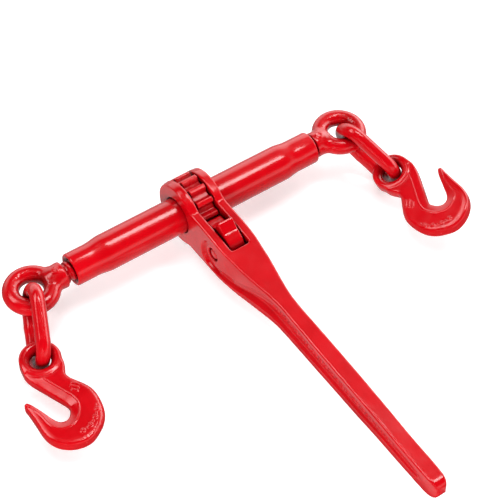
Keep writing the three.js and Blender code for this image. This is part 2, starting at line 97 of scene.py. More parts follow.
def bump(dist, radius):
    """1 near the middle, falling smoothly to 0 at the radius."""
    return 1.0 - ramp(dist, radius * 0.35, radius)


def ridge(dist, width):
    """A bell of height 1 centred where dist is 0."""
    return np.exp(-(dist / width) ** 2)


def segment_dist2(start, end, u, v):
    """Squared distance to a straight segment."""
    (ax, ay), (bx, by) = start, end
    ex, ey = bx - ax, by - ay
    wx, wy = u - ax, v - ay
    along = np.clip((wx * ex + wy * ey) / (ex * ex + ey * ey + 1e-12), 0.0, 1.0)
    return (wx - along * ex) ** 2 + (wy - along * ey) ** 2


def poly_sdf(outline, u, v):
    """Signed distance to a closed outline, negative inside."""
    u, v = np.broadcast_arrays(u, v)
    best = np.full(u.shape, 1e18)
    inside = np.zeros(u.shape, bool)
    for start, end in zip(outline, outline[1:] + outline[:1]):
        np.minimum(best, segment_dist2(start, end, u, v), out=best)
        (ax, ay), (bx, by) = start, end
        if ay != by:
            cross = (ay > v) != (by > v)
            inside ^= cross & (u < (bx - ax) * (v - ay) / (by - ay) + ax)
    dist = np.sqrt(best)
    return np.where(inside, -dist, dist)


def line_dist(line, u, v):
    """Distance to an open line of points."""
    best = np.full(np.broadcast(u, v).shape, 1e18)
    for start, end in zip(line[:-1], line[1:]):
        np.minimum(best, segment_dist2(start, end, u, v), out=best)
    return np.sqrt(best)


def spline(points, step=2.0, closed=False):
    """A smooth line through the points (centripetal Catmull-Rom)."""
    pts = [np.array(point, float) for point in points]
    count = len(pts)
    line = []
    for i in range(count if closed else count - 1):
        p1, p2 = pts[i], pts[(i + 1) % count]
        p0 = pts[(i - 1) % count] if closed or i > 0 else 2 * p1 - p2
        p3 = pts[(i + 2) % count] if closed or i + 2 < count else 2 * p2 - p1
        d0, d1, d2 = (max(np.linalg.norm(b - a) ** 0.5, 1e-6)
                      for a, b in ((p0, p1), (p1, p2), (p2, p3)))
        m1 = (p1 - p0) / d0 - (p2 - p0) / (d0 + d1) + (p2 - p1) / d1
        m2 = (p2 - p1) / d1 - (p3 - p1) / (d1 + d2) + (p3 - p2) / d2
        m1, m2 = m1 * d1, m2 * d1
        pieces = max(1, int(np.linalg.norm(p2 - p1) / step))
        for j in range(pieces):
            t = j / pieces
            line.append((2 * t**3 - 3 * t**2 + 1) * p1 + (t**3 - 2 * t**2 + t) * m1
                        + (-2 * t**3 + 3 * t**2) * p2 + (t**3 - t**2) * m2)
    if not closed:
        line.append(pts[-1])
    return [tuple(point) for point in line]


def table_at(table, place_along):
    """A smooth value along a table of (place, value) rows."""
    line = np.array(spline(sorted(table), step=1.5))
    return np.interp(place_along, line[:, 0], line[:, 1])


def waves(seed, size, count=10):
    """A gentle unevenness about +-1, with features of the given size in mm."""
    rng = np.random.RandomState(seed)
    freq = rng.normal(size=(count, 3))
    freq *= ((2 * math.pi / size) * rng.uniform(0.7, 1.5, (count, 1))
             / np.linalg.norm(freq, axis=1)[:, None])
    phase = rng.uniform(0, 2 * math.pi, count)

    def field(x, y, z):
        total = 0.0
        for i in range(count):
            total = total + np.sin(freq[i, 0] * x + freq[i, 1] * y + freq[i, 2] * z + phase[i])
        return total / math.sqrt(count * 0.5) * 0.5
    return field


# ------------------------------------------------------------------ meshes, as (verts, faces)
def grid_axis(lo, hi, step):
    return np.arange(lo - 1.5 * step, hi + 2.5 * step, step)


def grid_box(lo, hi, step):
    return [grid_axis(lo[i], hi[i], step) for i in range(3)]


def surface(field, axes):
    """A closed quad mesh of the surface where field(x, y, z) is 0, inside negative."""
    x, y, z = axes[0][:, None, None], axes[1][None, :, None], axes[2][None, None, :]
    sizes = [len(axis) for axis in axes]
    values = np.array(np.broadcast_to(field(x, y, z), sizes), dtype=np.float64)
    inside = values < 0
    corners = list(product((0, 1), repeat=3))
    count = sum(inside[tuple(slice(c, size - 1 + c) for c, size in zip(corner, sizes))]
                .astype(np.int8) for corner in corners)
    mixed = (count > 0) & (count < 8)
    number = np.full(mixed.shape, -1, np.int64)
    cells = np.argwhere(mixed)
    number[mixed] = np.arange(len(cells))

    # one point per cell: the mean of the crossings on its edges
    total = np.zeros((len(cells), 3))
    hits = np.zeros(len(cells))
    at_corner = {corner: values[tuple((cells + corner).T)] for corner in corners}
    for corner in corners:
        for axis in range(3):
            if corner[axis]:
                continue
            other = list(corner)
            other[axis] = 1
            near, far = at_corner[corner], at_corner[tuple(other)]
            crossed = (near < 0) != (far < 0)
            share = np.where(crossed, near / np.where(crossed, near - far, 1.0), 0.0)
            point = np.array(corner, float)[None, :].repeat(len(cells), 0)
            point[:, axis] += share
            total[crossed] += point[crossed]
            hits[crossed] += 1
    points = cells + total / hits[:, None]

    # settle each point on the surface along the field's slope
    def sample(at):
        at = np.clip(at, 0, np.array(sizes) - 1.001)
        cell = at.astype(int)
        part = at - cell
        value = 0.0
        for corner in corners:
            weight = np.ones(len(at))
            for axis in range(3):
                weight = weight * (part[:, axis] if corner[axis] else 1 - part[:, axis])
            value = value + weight * values[tuple((cell + corner).T)]
        return value

    for _ in range(3):
        value = sample(points)
        slope = np.stack([sample(points + shift) - sample(points - shift)
                          for shift in 0.5 * np.eye(3)], 1)
        steepness = (slope**2).sum(1) + 1e-9
        move = -(value / steepness)[:, None] * slope
        length = np.linalg.norm(move, axis=1)
        move *= np.minimum(1.0, 0.35 / np.maximum(length, 1e-9))[:, None]
        points = points + move
    verts = np.stack([np.interp(points[:, i], np.arange(sizes[i]), axes[i])
                      for i in range(3)], 1)

    # one quad round every grid edge that crosses the surface
    quads = []
    for axis in range(3):
        side_a, side_b = (axis + 1) % 3, (axis + 2) % 3
        interior = [slice(None)] * 3
        interior[side_a] = interior[side_b] = slice(1, -1)
        at = np.argwhere(np.diff(inside, axis=axis)[tuple(interior)])
        at[:, side_a] += 1
        at[:, side_b] += 1
        ring = []
        for shift_a, shift_b in ((-1, -1), (0, -1), (0, 0), (-1, 0)):
            cell = at.copy()
            cell[:, side_a] += shift_a
            cell[:, side_b] += shift_b
            ring.append(number[tuple(cell.T)])
        ring = np.stack(ring, 1)
        outward = inside[tuple(at.T)]
        ring[~outward] = ring[~outward][:, ::-1]
        quads.append(ring)
    return verts, np.concatenate(quads)


def turn_angles(seg):
    return np.arange(seg) * 2 * math.pi / seg


def ring_quads(rings, seg, closed):
    """Quads between neighbouring rings of seg points."""
    i, j = np.meshgrid(np.arange(rings if closed else rings - 1), np.arange(seg), indexing="ij")
    next_i, next_j = (i + 1) % rings, (j + 1) % seg
    return np.stack([i * seg + j, i * seg + next_j, next_i * seg + next_j, next_i * seg + j],
                    -1).reshape(-1, 4)


def rings_about_x(along, radius, seg):
    angle = turn_angles(seg)
    radius = np.broadcast_to(radius, (len(along), seg))
    return np.stack([np.repeat(along[:, None], seg, 1), radius * np.cos(angle),
                     radius * np.sin(angle)], -1).reshape(-1, 3)


def lathe(profile, seg):
    """A closed profile of (along, radius) turned about X."""
    prof = np.array(profile, float)
    return rings_about_x(prof[:, 0], prof[:, 1][:, None], seg), ring_quads(len(prof), seg, True)


def fan_capped(along, radius, seg, start, end):
    """Rings about X, closed by fans to the axis at start and end."""
    last = (len(along) - 1) * seg
    verts = np.vstack([rings_about_x(along, radius, seg), [[start, 0, 0], [end, 0, 0]]])
    faces = ring_quads(len(along), seg, False).tolist()
    for k in range(seg):
        after = (k + 1) % seg
        faces.append((last + seg, after, k))
        faces.append((last + seg + 1, last + k, last + after))
    return verts, faces


def spindle(profile, seg=64):
    """A profile of (along, radius) from axis to axis turned about X."""
    prof = np.array(profile, float)
    middle = prof[1:-1]
    return fan_capped(middle[:, 0], middle[:, 1][:, None], seg, prof[0, 0], prof[-1, 0])


def mirrored(profile):
    """The same profile on the other side of 0, in running order."""
    return [(-along, radius) for along, radius in profile[::-1]]


def arc(cx, cy, radius, start, end, count):
    return [(cx + radius * math.cos(math.radians(t)), cy + radius * math.sin(math.radians(t)))
            for t in np.linspace(start, end, count)]


def sweep(path, radius, seg, closed, up):
    """A round bar along a path; radius may be a number for each point."""
    path, up = np.array(path, float), np.array(up, float)
    count = len(path)
    radius = np.broadcast_to(np.asarray(radius, float), (count,))[:, None, None]
    if closed:
        after, before = np.roll(path, -1, 0), np.roll(path, 1, 0)
    else:
        after = np.vstack([path[1:], 2 * path[-1] - path[-2]])
        before = np.vstack([2 * path[0] - path[1], path[:-1]])
    tangent = after - before
    tangent /= np.linalg.norm(tangent, axis=1)[:, None]
    normal = up[None, :] - (tangent @ up)[:, None] * tangent
    normal /= np.linalg.norm(normal, axis=1)[:, None]
    across = np.cross(tangent, normal)
    angle = turn_angles(seg)
    verts = (path[:, None, :] + radius * (
        np.cos(angle)[None, :, None] * normal[:, None, :]
        + np.sin(angle)[None, :, None] * across[:, None, :])).reshape(-1, 3)
    faces = ring_quads(count, seg, closed).tolist()
    if not closed:
        faces.append(tuple(range(seg))[::-1])
        faces.append(tuple(range((count - 1) * seg, count * seg)))
    return verts, faces


def place(mesh, at, turn=np.eye(3)):
    verts, faces = mesh
    return verts @ turn.T + np.array(at, float), faces


def piece(name, mesh, body, node, mat):
    """A mesh riding on a CAD body, in place of the CAD node."""
    verts, faces = mesh
    co = ((verts + CENTRE) / 1000.0).astype(np.float32)
    me = bpy.data.meshes.new(name)
    if isinstance(faces, np.ndarray):
        me.vertices.add(len(co))
        me.vertices.foreach_set("co", co.ravel())
        me.loops.add(faces.size)
        me.loops.foreach_set("vertex_index", faces.astype(np.int32).ravel())
        me.polygons.add(len(faces))
        me.polygons.foreach_set("loop_start", np.arange(0, faces.size, 4, dtype=np.int32))
        me.update(calc_edges=True)
    else:
        me.from_pydata(co.tolist(), [], faces)
    me.validate()
    me.polygons.foreach_set("use_smooth", [True] * len(me.polygons))
    me.materials.append(mat)
    me.update()
    ob = bpy.data.objects.new(name, me)
    bpy.context.scene.collection.objects.link(ob)
    if volume(me) < 0:
        me.flip_normals()
    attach(ob, body)
    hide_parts(node)


def volume(me):
    me.calc_loop_triangles()
    corners = np.empty(len(me.loop_triangles) * 3, np.int32)
    me.loop_triangles.foreach_get("vertices", corners)
    co = np.empty(len(me.vertices) * 3, np.float32)
    me.vertices.foreach_get("co", co)
    tri = co.reshape(-1, 3)[corners].reshape(-1, 3, 3).astype(float)
    return np.einsum("ij,ij->i", tri[:, 0], np.cross(tri[:, 1], tri[:, 2])).sum() / 6


# ------------------------------------------------------------------ shader nodes
def set_inputs(tree, node, values):
    """Link each value that is a socket, and store each one that is not."""
    for key, value in values.items():
        if hasattr(value, "is_linked"):
            tree.links.new(value, node.inputs[key])
        else:
            node.inputs[key].default_value = value


def new_material(name):
    mat = bpy.data.materials.new(name)
    mat.use_nodes = True
    tree = mat.node_tree
    tree.nodes.clear()
    output = tree.nodes.new("ShaderNodeOutputMaterial")
    shader = tree.nodes.new("ShaderNodeBsdfPrincipled")
    tree.links.new(shader.outputs["BSDF"], output.inputs["Surface"])
    return mat, tree, shader, output


def noise(tree, scale, detail=3.0, rough=0.5, stretch=(1, 1, 1), seed=(0, 0, 0)):
    coord = tree.nodes.new("ShaderNodeTexCoord")
    mapping = tree.nodes.new("ShaderNodeMapping")
    set_inputs(tree, mapping, {
        "Location": seed, "Scale": stretch, "Vector": coord.outputs["Object"]})
    node = tree.nodes.new("ShaderNodeTexNoise")
    set_inputs(tree, node, {"Scale": scale, "Detail": detail, "Roughness": rough,
                            "Vector": mapping.outputs["Vector"]})
    return node.outputs["Fac"]


def remap(tree, value, span, to, smooth=False):
    """Carries the span (from, to) of a value over to the range given as to."""
    node = tree.nodes.new("ShaderNodeMapRange")
    if smooth:
        node.interpolation_type = "SMOOTHSTEP"
    set_inputs(tree, node, {"Value": value, "From Min": span[0], "From Max": span[1],
                            "To Min": to[0], "To Max": to[1]})
    return node.outputs["Result"]


def mix(tree, factor, first, second):
    node = tree.nodes.new("ShaderNodeMix")
    node.data_type = "RGBA"
    set_inputs(tree, node, {"Factor": factor, "A": first, "B": second})
    return node.outputs["Result"]


def math_node(tree, operation, *values):
    node = tree.nodes.new("ShaderNodeMath")
    node.operation = operation
    set_inputs(tree, node, dict(enumerate(values)))
    return node.outputs[0]


def split_xyz(tree, output):
    coord = tree.nodes.new("ShaderNodeTexCoord")
    split = tree.nodes.new("ShaderNodeSeparateXYZ")
    tree.links.new(coord.outputs[output], split.inputs[0])
    return [split.outputs[axis] for axis in "XYZ"]


def bumped(tree, shader, layers):
    """Stacks bump layers of (height, strength, distance in m)."""
    normal = None
    for height, strength, distance in layers:
        node = tree.nodes.new("ShaderNodeBump")
        set_inputs(tree, node, {"Strength": strength, "Distance": distance, "Height": height})
        if normal is not None:
            tree.links.new(normal, node.inputs["Normal"])
        normal = node.outputs["Normal"]
    set_inputs(tree, shader, {"Normal": normal, "Coat Normal": normal})


# ------------------------------------------------------------------ materials
RED_LOW, RED_HIGH = (0.575, 0.0005, 0.0044, 1), (0.655, 0.0014, 0.0068, 1)
RED_FLECK = (0.495, 0.0004, 0.0040, 1)
RED_EDGE_HIGHLIGHT = (0.800, 0.070, 0.072, 1)      # painted highlight on sharp edges
RED_CORNER_SHADE = (0.290, 0.0002, 0.0030, 1)  # painted shade in corners
RED_SHADED = (0.150, 0.0002, 0.0020, 1)  # in deep recesses


def red_enamel(name, lumps, peel, rough, seed=(0, 0, 0), gloss=0.52):
    """Glossy red enamel. lumps is the depth of the steel's unevenness under it,
    peel that of the paint's own ripple, both in metres."""
    mat, tree, shader, _ = new_material(name)
    big = noise(tree, scale=28.0, rough=0.55, seed=seed)
    fine = noise(tree, scale=240.0, detail=4.0, rough=0.6, seed=seed)
    base = mix(tree, remap(tree, big, (0.35, 0.65), (0, 1)), RED_LOW, RED_HIGH)
    base = mix(tree, remap(tree, fine, (0.55, 0.72), (0, 0.30)), base, RED_FLECK)
    # painted highlight on sharp edges and painted shade in corners, both picked out by
    # pointiness
    pointiness = tree.nodes.new("ShaderNodeNewGeometry").outputs["Pointiness"]
    base = mix(tree, remap(tree, pointiness, (0.53, 0.62), (0, 0.75)), base, RED_EDGE_HIGHLIGHT)
    base = mix(tree, remap(tree, pointiness, (0.42, 0.47), (0.65, 0)), base, RED_CORNER_SHADE)
    shade = tree.nodes.new("ShaderNodeAmbientOcclusion")
    shade.inputs["Distance"].default_value = 0.014
    shade.samples = 6
    base = mix(tree, remap(tree, shade.outputs["AO"], (0.15, 0.75), (0.95, 0)), base, RED_SHADED)
    patches = noise(tree, scale=90.0, rough=0.6, seed=seed)
    set_inputs(tree, shader, {
        "Base Color": base,
        "Roughness": remap(tree, patches, (0.3, 0.7), (rough - 0.03, rough + 0.05)),
        "Specular IOR Level": gloss,
        "Coat Weight": 0.22, "Coat Roughness": 0.10, "Coat IOR": 1.5})
    bumped(tree, shader, [
        (noise(tree, scale=120.0, seed=seed), 1.0, lumps),
        (noise(tree, scale=620.0, detail=2.0, seed=seed), 1.0, peel)])
    return mat


def bare_steel(name):
    """Plain steel with a fine grain drawn out along X."""
    mat, tree, shader, _ = new_material(name)
    grain = noise(tree, scale=900.0, rough=0.6, stretch=(0.08, 1, 1))
    set_inputs(tree, shader, {
        "Metallic": 1.0,
        "Base Color": mix(tree, grain, (0.44, 0.44, 0.46, 1), (0.66, 0.66, 0.67, 1)),
        "Roughness": remap(tree, grain, (0.3, 0.7), (0.24, 0.42))})
    bumped(tree, shader, [(grain, 0.6, 0.00004)])
    return mat


TUBE = red_enamel("red_tube", lumps=0.000012, peel=0.000004, rough=0.17)
FORGED = red_enamel("red_forged", lumps=0.00006, peel=0.000008, rough=0.19, seed=(1.3, 0.4, 2.2))
HANDLE = red_enamel("red_handle", lumps=0.00002, peel=0.000006, rough=0.18, seed=(3.1, 1.2, 0.7))
HOOKS = red_enamel("red_hook", lumps=0.00003, peel=0.000006, rough=0.18, seed=(5.2, 2.2, 1.1))
LINKS = red_enamel("red_link", lumps=0.00003, peel=0.000006, rough=0.17, seed=(7.7, 0.6, 4.1))
GEAR = red_enamel("red_gear", lumps=0.00004, peel=0.000008, rough=0.27, seed=(2.3, 5.2, 1.7),
                  gloss=0.40)
STEEL = bare_steel("bare_steel")

# ------------------------------------------------------------------ barrel tube
TUBE_HALF, TUBE_R, TUBE_END_R = 127.0, 16.6, 15.0
SWELL = (-106.5, -91)   # where the end radius grows to the full one


def build_tube():
    end = -TUBE_HALF
    mean, rise = (TUBE_R + TUBE_END_R) / 2, (TUBE_R - TUBE_END_R) / 2
    outside = [(end, 13.4)] + arc(end + 1.7, 13.4, 1.6, 178, 92, 6) + [(-107.5, TUBE_END_R)]
    outside += [(x, mean - rise * math.cos((x - SWELL[0]) / (SWELL[1] - SWELL[0]) * math.pi))
                for x in np.linspace(*SWELL, 10)]
    middle = [(x, TUBE_R) for x in np.linspace(-89, 89, 40)]
    bore = [(TUBE_HALF - 0.5, 12.2), (TUBE_HALF - 1.2, 11.3), (TUBE_HALF - 2.4, 9.95),
            (106, 9.9), (101.5, 12.6)]
    profile = outside + middle + mirrored(outside) + bore + mirrored(bore)
    piece("tube_shell", lathe(profile, 112), "barrel", "barrel_tube", TUBE)


# ------------------------------------------------------------------ ratchet gear
TEETH, TIP_R, ROOT_R, GEAR_HALF, GEAR_BORE = 14, 31.0, 25.8, 7.8, 17.0
GEAR_PHASE = -2.4   # degrees from +Y to the first tooth
# one flank from root to tip: degrees off the tooth's middle, radius
FLANK = [(8.6, ROOT_R + 0.1), (7.2, ROOT_R + 0.9), (4.4, TIP_R - 0.9), (3.5, TIP_R - 0.1)]
TOOTH = [(-12.86, ROOT_R)] + mirrored(FLANK[::-1]) + [(0.0, TIP_R)] + FLANK[::-1]


def gear_outline():
    points = []
    for i in range(TEETH):
        middle = GEAR_PHASE + i * 360 / TEETH
        for offset, radius in TOOTH:
            angle = math.radians(middle + offset)
            points.append((radius * math.cos(angle), radius * math.sin(angle)))
    return points


def build_gear():
    outline, uneven = gear_outline(), waves(4, 9)

    def field(x, y, z):
        solid = rounded(poly_sdf(outline, y[0], z[0])[None], np.abs(x) - GEAR_HALF, 0.45)
        solid = smax(solid, GEAR_BORE - np.hypot(y, z), 0.6)
        return solid + 0.03 * uneven(x, y, z)

    mesh = surface(field, grid_box((-GEAR_HALF, -TIP_R, -TIP_R), (GEAR_HALF, TIP_R, TIP_R), 0.5))
    piece("gear_body", mesh, "barrel", "ratchet_gear", GEAR)


# ------------------------------------------------------------------ handle
RING_R, HANDLE_BORE = 30.6, 17.35
CHEEK_OUT, CHEEK_IN = 17.8, 9.4      # outer and inner |x| of the two cheeks
WINDOW_Y = -72.6                     # end of the gap between the cheeks
PIN_Y, PIN_Z = -56.2, 3.0            # pawl pin; the plunger shares its z
PIN_HOLE_R = 5.35
RECESS_R, RECESS_FLOOR = 6.7, 13.8   # round recess about the pin: radius, |x| of its floor
BOSS_R = 9.2
DETENT_R, DETENT_Y = 3.8, (-99.4, -70)   # hole for the plunger and spring

# side outline, (y, z): top edge, tip, bottom edge
TOP = [(-12, 21.3), (-30, 21.3), (-46, 21.2), (-58, 20.7), (-70, 19.7), (-85, 18.4),
       (-100, 17.3), (-125, 16.1), (-150, 15.0), (-185, 14.2), (-215, 13.7), (-245, 13.0),
       (-270, 12.0), (-290, 10.9), (-308, 10.3), (-335, 10.1)]
TIP = [(-343.6, 9.6), (-347.8, 6.2), (-349.4, 0.5), (-349.0, -4.6), (-346, -9.0), (-341, -11.5)]
BOTTOM = [(-335, -12.6), (-310, -13.5), (-280, -13.9), (-250, -14.4), (-220, -14.8),
          (-170, -16.0), (-140, -16.9), (-120, -18.0), (-105, -19.0), (-80, -20.4),
          (-50, -22.0), (-12, -23.4)]
SIDE = (spline(TOP, 3.0)[:-1] + spline([TOP[-1]] + TIP + [BOTTOM[0]], 1.5)[:-1]
        + spline(BOTTOM, 3.0))
# half widths along the handle, (y, |x|): the flanks, and the web left between the grooves
WIDTH = [(-352, 2.6), (-350, 3.4), (-347.5, 5.3), (-343, 6.5), (-335, 7.1), (-290, 7.3),
         (-250, 7.6), (-200, 7.8), (-142, 7.6), (-133, 8.3), (-125, 9.4), (-110, 12.0),
         (-95, 14.6), (-80, 16.4), (-72, 17.3), (-64, 17.8), (-40, 17.8), (0, 17.8), (40, 17.8)]
WEB = [(-360, 3.0), (-330, 2.9), (-140, 3.0), (-125, 4.4), (-108, 7.0), (-95, 9.6),
       (-82, 12.0), (-72, 13.4), (-64, 14.2), (-30, 14.4), (0, 14.4)]
# the groove sunk in each flank, (y, z)
SHOULDER = [(-126, 10.6), (-118, 10.2), (-110, 7.6), (-100, 3.0), (-90, -1.4), (-80, -3.8)]
LOW_BANK = spline([
    (-47.5, 13.0), (-42.5, 9.0), (-39.0, 2.0), (-37.9, -6.0), (-39.4, -12.6), (-45.0, -17.6),
    (-54.0, -19.2), (-66, -18.2), (-80, -17.0), (-90, -15.2), (-100, -12.4), (-120, -10.8),
    (-140, -10.6), (-170, -9.2), (-200, -7.6), (-240, -6.9), (-280, -5.4), (-310, -4.8),
    (-322, -4.2), (-327.5, -2.4), (-328.6, -0.6)], 3.0)
TOP_BANK = spline([
    (-328.6, -0.6), (-327.0, 1.6), (-322, 3.1), (-310, 3.9), (-280, 5.2), (-240, 6.4),
    (-200, 7.8), (-170, 8.8), (-140, 9.8)] + SHOULDER
    + [(-72, -5.6), (-66, -7.2), (-60, -9.0)], 3.0)
GROOVE = LOW_BANK + TOP_BANK[1:] + [(-56.0, -5.0), (-52.0, 2.0), (-48.0, 8.0)]
RIDGE = [(-84, -9.6), (-91, -7.0), (-100, -3.4), (-110, -0.5), (-120, 2.2), (-132, 4.6)]
SHELF = RIDGE + [(-142, 9.7)] + SHOULDER
# the line below which the flanks fall away, as y stations and their z
FALL_Y = [-340, -310, -240, -200, -140, -100, -80, -60]
FALL_Z = [-4.8, -4.8, -6.9, -7.6, -10.6, -12.4, -17.0, -19.0]
# short bars standing beside the pin's boss, (y, z) ends
BARS = [((-72.5, 6.4), (-74.5, 3.0)), ((-75.6, 5.6), (-77.0, 3.2)), ((-73.0, 1.2), (-76.4, 0.6))]


def casting_marks():
    """A row of short raised bars along the web at mixed slants."""
    rng = np.random.RandomState(5)
    marks = []
    y = -133.0
    while y > -297:
        middle = np.interp(y, [-300, -240, -200, -133], [0.2, 1.6, 3.0, 4.6])
        rise, lean = rng.uniform(1.2, 2.3), rng.uniform(-1.3, 1.3)
        shift = rng.uniform(-0.5, 0.5)
        marks.append(((y - lean, middle + shift - rise), (y + lean, middle + shift + rise)))
        y -= rng.uniform(2.9, 4.6)
    return marks


def mark_height(y, z):
    height = np.zeros(np.broadcast(y, z).shape)
    for start, end in casting_marks():
        rows = np.abs(y[:, 0] - start[0]) < 6
        row_y, row_z = (np.broadcast_to(values, height.shape)[rows] for values in (y, z))
        height[rows] = np.maximum(height[rows],
                                  bump(line_dist([start, end], row_y, row_z), 1.35))
    return height


def flank_depth(y, z, full, pin_dist):
    """How deep each flank is sunk over the (y, z) plane; full reaches down to the web."""
    groove = poly_sdf(GROOVE, y, z)
    low, top = line_dist(LOW_BANK, y, z), line_dist(TOP_BANK, y, z)
    # a shallow channel whose floor falls away towards its lower bank,
    # and a shelf where the arm narrows
    arm = np.minimum(0.9 + 0.13 * top, full)
    shelf = 0.3 * full * ramp(-poly_sdf(SHELF, y, z), -0.5, 0.9)
    head = full * np.maximum(0.35 + 0.65 * top / (low + top + 1e-6), ramp(y, -70, -62)) - shelf
    floor_depth = arm + (head - arm) * ramp(y, -146, -120)
    deep = smin(low * (0.9 + 0.55 * ramp(y, -66, -54)), top * 1.8, 0.6)
    deep = np.maximum(smin(deep, floor_depth, 0.8), 0.0)
    marked = (np.maximum(deep - 0.9, 0.1) - deep) * mark_height(y, z) * (deep > 0.5)
    deep = (deep + marked) * (groove < 0)
    deep = deep * ramp(pin_dist, BOSS_R, BOSS_R + 1.4)
    below = np.maximum(np.interp(y, FALL_Y, FALL_Z) - z, 0)
    deep = deep + np.where(groove > 0, below * 0.11, 0.0) * ramp(-y, 70, 100)
    deep = deep - 1.1 * ridge(line_dist(RIDGE, y, z), 0.9) * (groove < -1.0)
    # the pin's boss has a thin raised rim; a few short bars stand on the flat beside it
    deep = deep - 0.6 * ridge(pin_dist - BOSS_R, 0.9) * (y > -62)
    for bar in BARS:
        deep = deep - 0.75 * bump(line_dist(bar, y, z), 1.1)
    return deep


def build_handle():
    uneven, fine = waves(11, 26), waves(12, 7)

    def field(x, y, z):
        plane_y, plane_z = y[0], z[0]
        half_width = table_at(WIDTH, y[0, :, 0])[None, :, None]
        web = table_at(WEB, y[0, :, 0])[None, :, None]
        out, axis_dist = np.abs(x), np.hypot(y, z)
        arm = rounded(poly_sdf(SIDE, plane_y, plane_z)[None], out - half_width,
                      np.where(z > -1.0, 1.8, 0.7))
        # the ring tapers slightly outwards, and more so at its -X end
        taper = 0.08 * (out - CHEEK_IN) + 0.16 * np.maximum(-x - 13.0, 0)
        ring = rounded(axis_dist - RING_R - 0.2 + taper, out - CHEEK_OUT, 1.3)
        solid = smin(arm, ring, 1.6)
        solid = smax(solid, -smax(out - CHEEK_IN, WINDOW_Y - y, 3.0), 1.5)
        solid = smax(solid, HANDLE_BORE - axis_dist, 1.3)
        pin_dist = np.hypot(plane_y - PIN_Y, plane_z - PIN_Z)
        deep = flank_depth(plane_y, plane_z, (half_width - web)[0], pin_dist)
        solid = smax(solid, out - (half_width - 0.1 - deep[None]), 0.5)
        pin_dist = pin_dist[None]
        solid = smax(solid, -smax(pin_dist - RECESS_R, RECESS_FLOOR - out, 0.4), 0.5)
        solid = smax(solid, PIN_HOLE_R - pin_dist, 0.5)
        hole = np.maximum(np.hypot(x, z - PIN_Z) - DETENT_R,
                          np.maximum(DETENT_Y[0] - y, y - DETENT_Y[1]))
        solid = smax(solid, -hole, 0.5)
        return solid + 0.06 * uneven(x, y, z) + 0.014 * fine(x, y, z)

    step = 0.72
    # the plain arm takes coarser steps than the tip and the head
    along = np.concatenate([
        np.arange(-351.5, -332, 0.8), np.arange(-331.5, -300.2, 1.3), np.arange(-300, -136, 1.0),
        np.arange(-135.5, RING_R + 2.5 * step, step)])
    mesh = surface(field, [grid_axis(-CHEEK_OUT, CHEEK_OUT, step), along,
                           grid_axis(-RING_R, RING_R, step)])
    piece("handle_forging", mesh, "handle", "handle", HANDLE)


# ------------------------------------------------------------------ pawl, pin, plunger, spring
PAWL_HALF = 7.3
# closed side outline, (y, z)
PAWL = spline([
    (-29.9, 13.4), (-31.6, 14.6), (-36.4, 15.4), (-41.4, 17.4), (-44.9, 21.8), (-47.0, 27.6),
    (-48.4, 30.0), (-49.8, 29.6), (-52.2, 27.6), (-54.6, 25.4), (-57.0, 23.3), (-58.2, 22.9),
    (-60.6, 21.5), (-64.6, 18.9), (-67.6, 15.6), (-69.9, 11.0), (-71.3, 5.2), (-71.5, 3.2),
    (-71.3, 1.2), (-70.3, -3.2), (-67.4, -8.5), (-62.8, -12.2), (-56.8, -14.2),
    (-50.0, -14.7), (-42.0, -15.0), (-35.8, -14.3), (-31.4, -11.6), (-31.0, -10.0),
    (-33.4, -6.4), (-35.7, -1.0), (-35.5, 4.6), (-33.0, 9.8)], 1.2, closed=True)
PIN_HALF = 17.2
PIN_END = [(-PIN_HALF, 0.0), (-PIN_HALF + 0.04, 2.4), (-PIN_HALF + 0.2, 3.6),
           (-PIN_HALF + 0.7, 4.6), (-PIN_HALF + 1.8, 5.25)]   # along, radius
PLUNGER = [(-83.4, 0), (-83.4, 2.8), (-82.8, 3.4), (-75.4, 3.4), (-74.6, 2.9), (-73.9, 2.1),
           (-73.5, 1.1), (-73.4, 0)]                          # y, radius
COIL_Y, COIL_LENGTH, COIL_R, COIL_TURNS, COIL_WIRE = -98.1, 13.3, 2.5, 5, 0.6
X_TO_Y = np.array([[0, 1, 0], [1, 0, 0], [0, 0, -1]], float)


def build_pawl():
    uneven = waves(21, 8)

    def field(x, y, z):
        solid = rounded(poly_sdf(PAWL, y[0], z[0])[None], np.abs(x) - PAWL_HALF, 0.9)
        solid = smax(solid, 5.4 - np.hypot(y - PIN_Y, z - PIN_Z), 0.5)
        return solid + 0.05 * uneven(x, y, z)

    mesh = surface(field, grid_box((-PAWL_HALF, -72, -15), (PAWL_HALF, -29, 31), 0.45))
    piece("pawl_forging", mesh, "pawl", "pawl", FORGED)


def build_pawl_pin():
    mesh = place(spindle(PIN_END + mirrored(PIN_END)), (0, PIN_Y, PIN_Z))
    piece("pawl_pin_riveted", mesh, "handle", "pawl_pin", FORGED)


def build_detent():
    mesh = place(spindle(PLUNGER, 40), (0, 0, PIN_Z), X_TO_Y)
    piece("plunger_pin", mesh, "plunger", "detent_plunger", STEEL)
    t = np.linspace(0, 1, 181)
    angle = t * (2 * COIL_TURNS) * math.pi
    coil = np.stack([COIL_R * np.cos(angle), COIL_Y + t * COIL_LENGTH,
                     COIL_R * np.sin(angle)], 1)
    mesh = place(sweep(coil, COIL_WIRE, 10, closed=False, up=(0, 1, 0)), (0, 0, PIN_Z))
    piece("detent_coil", mesh, "handle", "detent_spring", STEEL)


# ------------------------------------------------------------------ eye screws
# in the left screw's frame: the eye about 0, the shank towards +X
EYE_R, EYE_WIRE, EYE_HOLE_R, NECK_END = 17.7, 7.5, 10.0, 31.2
MAJOR_R, MINOR_R, LEAD, SHANK_LENGTH = 9.5, 7.7, 6.35, 128.0
# neck, (x, radius)
NECK = [(12, 7.0), (16, 8.0), (19, 9.8), (23, 11.2), (27, 11.9), (30, 11.9), (34, 11.8)]
STOP_PIN_END = [(-11.4, 0), (-11.4, 1.9), (-10.9, 2.45)]   # along, radius
SHANK_END = NECK_END + SHANK_LENGTH


